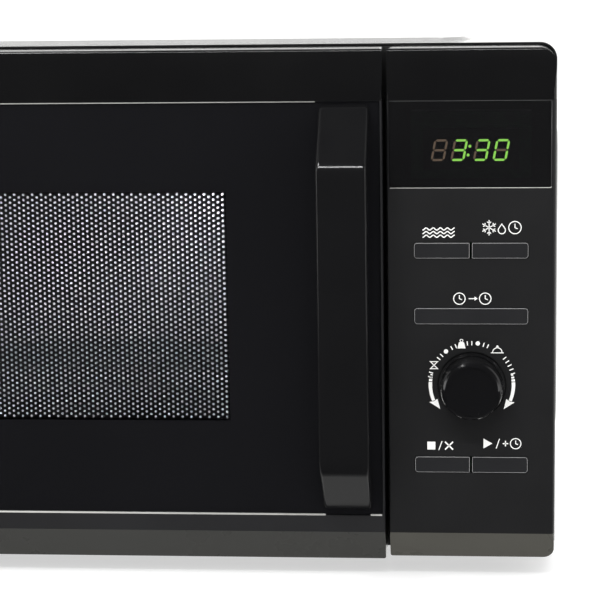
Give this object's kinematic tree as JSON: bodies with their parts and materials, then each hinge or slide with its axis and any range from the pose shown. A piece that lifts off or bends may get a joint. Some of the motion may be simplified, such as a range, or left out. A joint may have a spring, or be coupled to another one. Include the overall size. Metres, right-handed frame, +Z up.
{
  "type": "microwave oven",
  "caption": "Countertop microwave oven with a side-hinged pull-handle door, glass turntable, dial, push keys and digital clock.",
  "frame": {"origin": "on the table, at the middle of the oven's width and overall depth, feet at Z 0", "axes": "+X to the user's right, +Y from the door to the back, +Z up"},
  "size_m": [0.44, 0.356, 0.2568],
  "materials": {
    "cabinet_paint": "black powder coat, fine texture",
    "galvanised": "galvanised sheet",
    "cavity_paint": "light grey enamel",
    "screen_paint": "black, perforated",
    "fascia": "glossy black",
    "fascia_matt": "matt black",
    "key_plastic": "satin charcoal",
    "door_glass": "smoked, black border",
    "lens": "smoked",
    "knob": "glossy black",
    "handle": "glossy black",
    "black_plastic": "moulded",
    "white_plastic": "moulded",
    "red_plastic": "moulded",
    "grey_plastic": "moulded",
    "rubber": "matt",
    "screw_steel": "black zinc",
    "spring_steel": "drawn wire",
    "steel": "ground",
    "lamination": "stacked, varnished",
    "copper": "enamelled wire",
    "aluminium": "drawn",
    "mica": "mica board",
    "tray_glass": "clear, toughened",
    "lamp_glass": "clear bulb",
    "pcb": "circuit board",
    "tape": "winding tape"
  },
  "bodies": {
    "oven": {"cabinet": "cabinet_paint", "rear_panel": "galvanised", "rear_spacers": "black_plastic", "base_plate": "galvanised", "feet": "rubber", "cabinet_screws": "screw_steel", "front_plate": "screen_paint", "cavity_box": "cavity_paint", "waveguide": "galvanised", "waveguide_cover": "mica", "lamp_socket": "galvanised", "oven_lamp": "lamp_glass", "magnetron_core": "aluminium", "magnetron_casing": "galvanised", "transformer_core": "lamination", "transformer_windings": "copper", "hv_capacitor": "aluminium", "capacitor_clamp": "galvanised", "hv_diode": "black_plastic", "fan_housing": "grey_plastic", "fan_motor_core": "lamination", "fan_motor_coil": "tape", "turntable_motor": "galvanised", "hinge_brackets": "galvanised", "interlock_bracket": "white_plastic", "interlock_switches": "black_plastic", "control_bezel": "fascia", "display_lens": "lens", "control_board": "pcb", "board_components": "black_plastic", "noise_filter": "pcb", "cord_gland": "black_plastic", "thermal_cutouts": "black_plastic"},
    "door": {"door_frame": "fascia", "door_glass": "door_glass", "door_choke_frame": "screen_paint", "door_screen": "screen_paint", "choke_cover": "fascia_matt", "door_handle": "handle", "handle_screws": "steel", "latch_spring": "spring_steel"},
    "latch": {"door_latch": "black_plastic"},
    "knob": {"dial_knob": "knob", "encoder_shaft": "steel"},
    "turntable": {"turntable_shaft": "white_plastic", "turntable_coupler": "white_plastic"},
    "tray": {"glass_tray": "tray_glass"},
    "roller_ring": {"roller_ring": "white_plastic"},
    "roller_1": {"roller_1": "white_plastic"},
    "roller_2": {"roller_2": "white_plastic"},
    "roller_3": {"roller_3": "white_plastic"},
    "fan": {"fan_shaft": "steel", "fan_blade": "grey_plastic"},
    "lever": {"interlock_lever": "white_plastic"},
    "plungers": {"switch_plungers": "red_plastic"},
    "power_button": {"power_button": "key_plastic"},
    "defrost_button": {"defrost_button": "key_plastic"},
    "clock_button": {"clock_button": "key_plastic"},
    "stop_button": {"stop_button": "key_plastic"},
    "start_button": {"start_button": "key_plastic"}
  },
  "joints": [
    {"name": "door_hinge", "type": "hinge", "parent": "oven", "child": "door", "pos_m": [-0.2115, -0.13, 0.13], "axis": [0, 0, -1], "range_deg": [0, 100]},
    {"name": "latch_lift", "type": "slide", "parent": "door", "child": "latch", "axis": [0, 0, 1], "range_m": [0, 0.003], "stiffness_N_per_m": 400, "springref_m": -0.002, "deforming": ["latch_spring"]},
    {"name": "dial_turn", "type": "hinge", "parent": "oven", "child": "knob", "pos_m": [0.1784, -0.154, 0.0959], "axis": [0, 1, 0], "continuous": true},
    {"name": "turntable_turn", "type": "hinge", "parent": "oven", "child": "turntable", "pos_m": [-0.043, 0.024, 0.03], "axis": [0, 0, 1], "continuous": true},
    {"name": "tray_lift", "type": "slide", "parent": "turntable", "child": "tray", "axis": [0, 0, 1], "range_m": [0, 0.02]},
    {"name": "roller_ring_turn", "type": "hinge", "parent": "oven", "child": "roller_ring", "pos_m": [-0.043, 0.024, 0.0376], "axis": [0, 0, 1], "continuous": true},
    {"name": "roller_1_spin", "type": "hinge", "parent": "roller_ring", "child": "roller_1", "pos_m": [0.03927, 0.0715, 0.0376], "axis": [0.866, 0.5, 0], "continuous": true},
    {"name": "roller_2_spin", "type": "hinge", "parent": "roller_ring", "child": "roller_2", "pos_m": [-0.12527, 0.0715, 0.0376], "axis": [-0.866, 0.5, 0], "continuous": true},
    {"name": "roller_3_spin", "type": "hinge", "parent": "roller_ring", "child": "roller_3", "pos_m": [-0.043, -0.071, 0.0376], "axis": [0, -1, 0], "continuous": true},
    {"name": "fan_spin", "type": "hinge", "parent": "oven", "child": "fan", "pos_m": [0.163, 0.146, 0.15], "axis": [0, 1, 0], "continuous": true},
    {"name": "lever_swing", "type": "hinge", "parent": "oven", "child": "lever", "pos_m": [0.123, -0.1, 0.098], "axis": [1, 0, 0], "range_deg": [-4, 0]},
    {"name": "plunger_slide", "type": "slide", "parent": "oven", "child": "plungers", "axis": [0, 1, 0], "range_m": [-0.0012, 0]},
    {"name": "power_key_press", "type": "slide", "parent": "oven", "child": "power_button", "axis": [0, 1, 0], "range_m": [0, 0.0008], "stiffness_N_per_m": 1500, "springref_m": -0.0004},
    {"name": "defrost_key_press", "type": "slide", "parent": "oven", "child": "defrost_button", "axis": [0, 1, 0], "range_m": [0, 0.0008], "stiffness_N_per_m": 1500, "springref_m": -0.0004},
    {"name": "clock_key_press", "type": "slide", "parent": "oven", "child": "clock_button", "axis": [0, 1, 0], "range_m": [0, 0.0008], "stiffness_N_per_m": 1500, "springref_m": -0.0004},
    {"name": "stop_key_press", "type": "slide", "parent": "oven", "child": "stop_button", "axis": [0, 1, 0], "range_m": [0, 0.0008], "stiffness_N_per_m": 1500, "springref_m": -0.0004},
    {"name": "start_key_press", "type": "slide", "parent": "oven", "child": "start_button", "axis": [0, 1, 0], "range_m": [0, 0.0008], "stiffness_N_per_m": 1500, "springref_m": -0.0004}
  ],
  "couplings": [
    {"joint": "roller_ring_turn", "follows": "turntable_turn", "ratio": 0.5},
    {"joint": "roller_1_spin", "follows": "turntable_turn", "ratio": -6.4189},
    {"joint": "roller_2_spin", "follows": "turntable_turn", "ratio": -6.4189},
    {"joint": "roller_3_spin", "follows": "turntable_turn", "ratio": -6.4189},
    {"joint": "lever_swing", "follows": "door_hinge", "ratio": -0.039},
    {"joint": "plunger_slide", "follows": "door_hinge", "m_per_rad": -0.0006761}
  ]
}
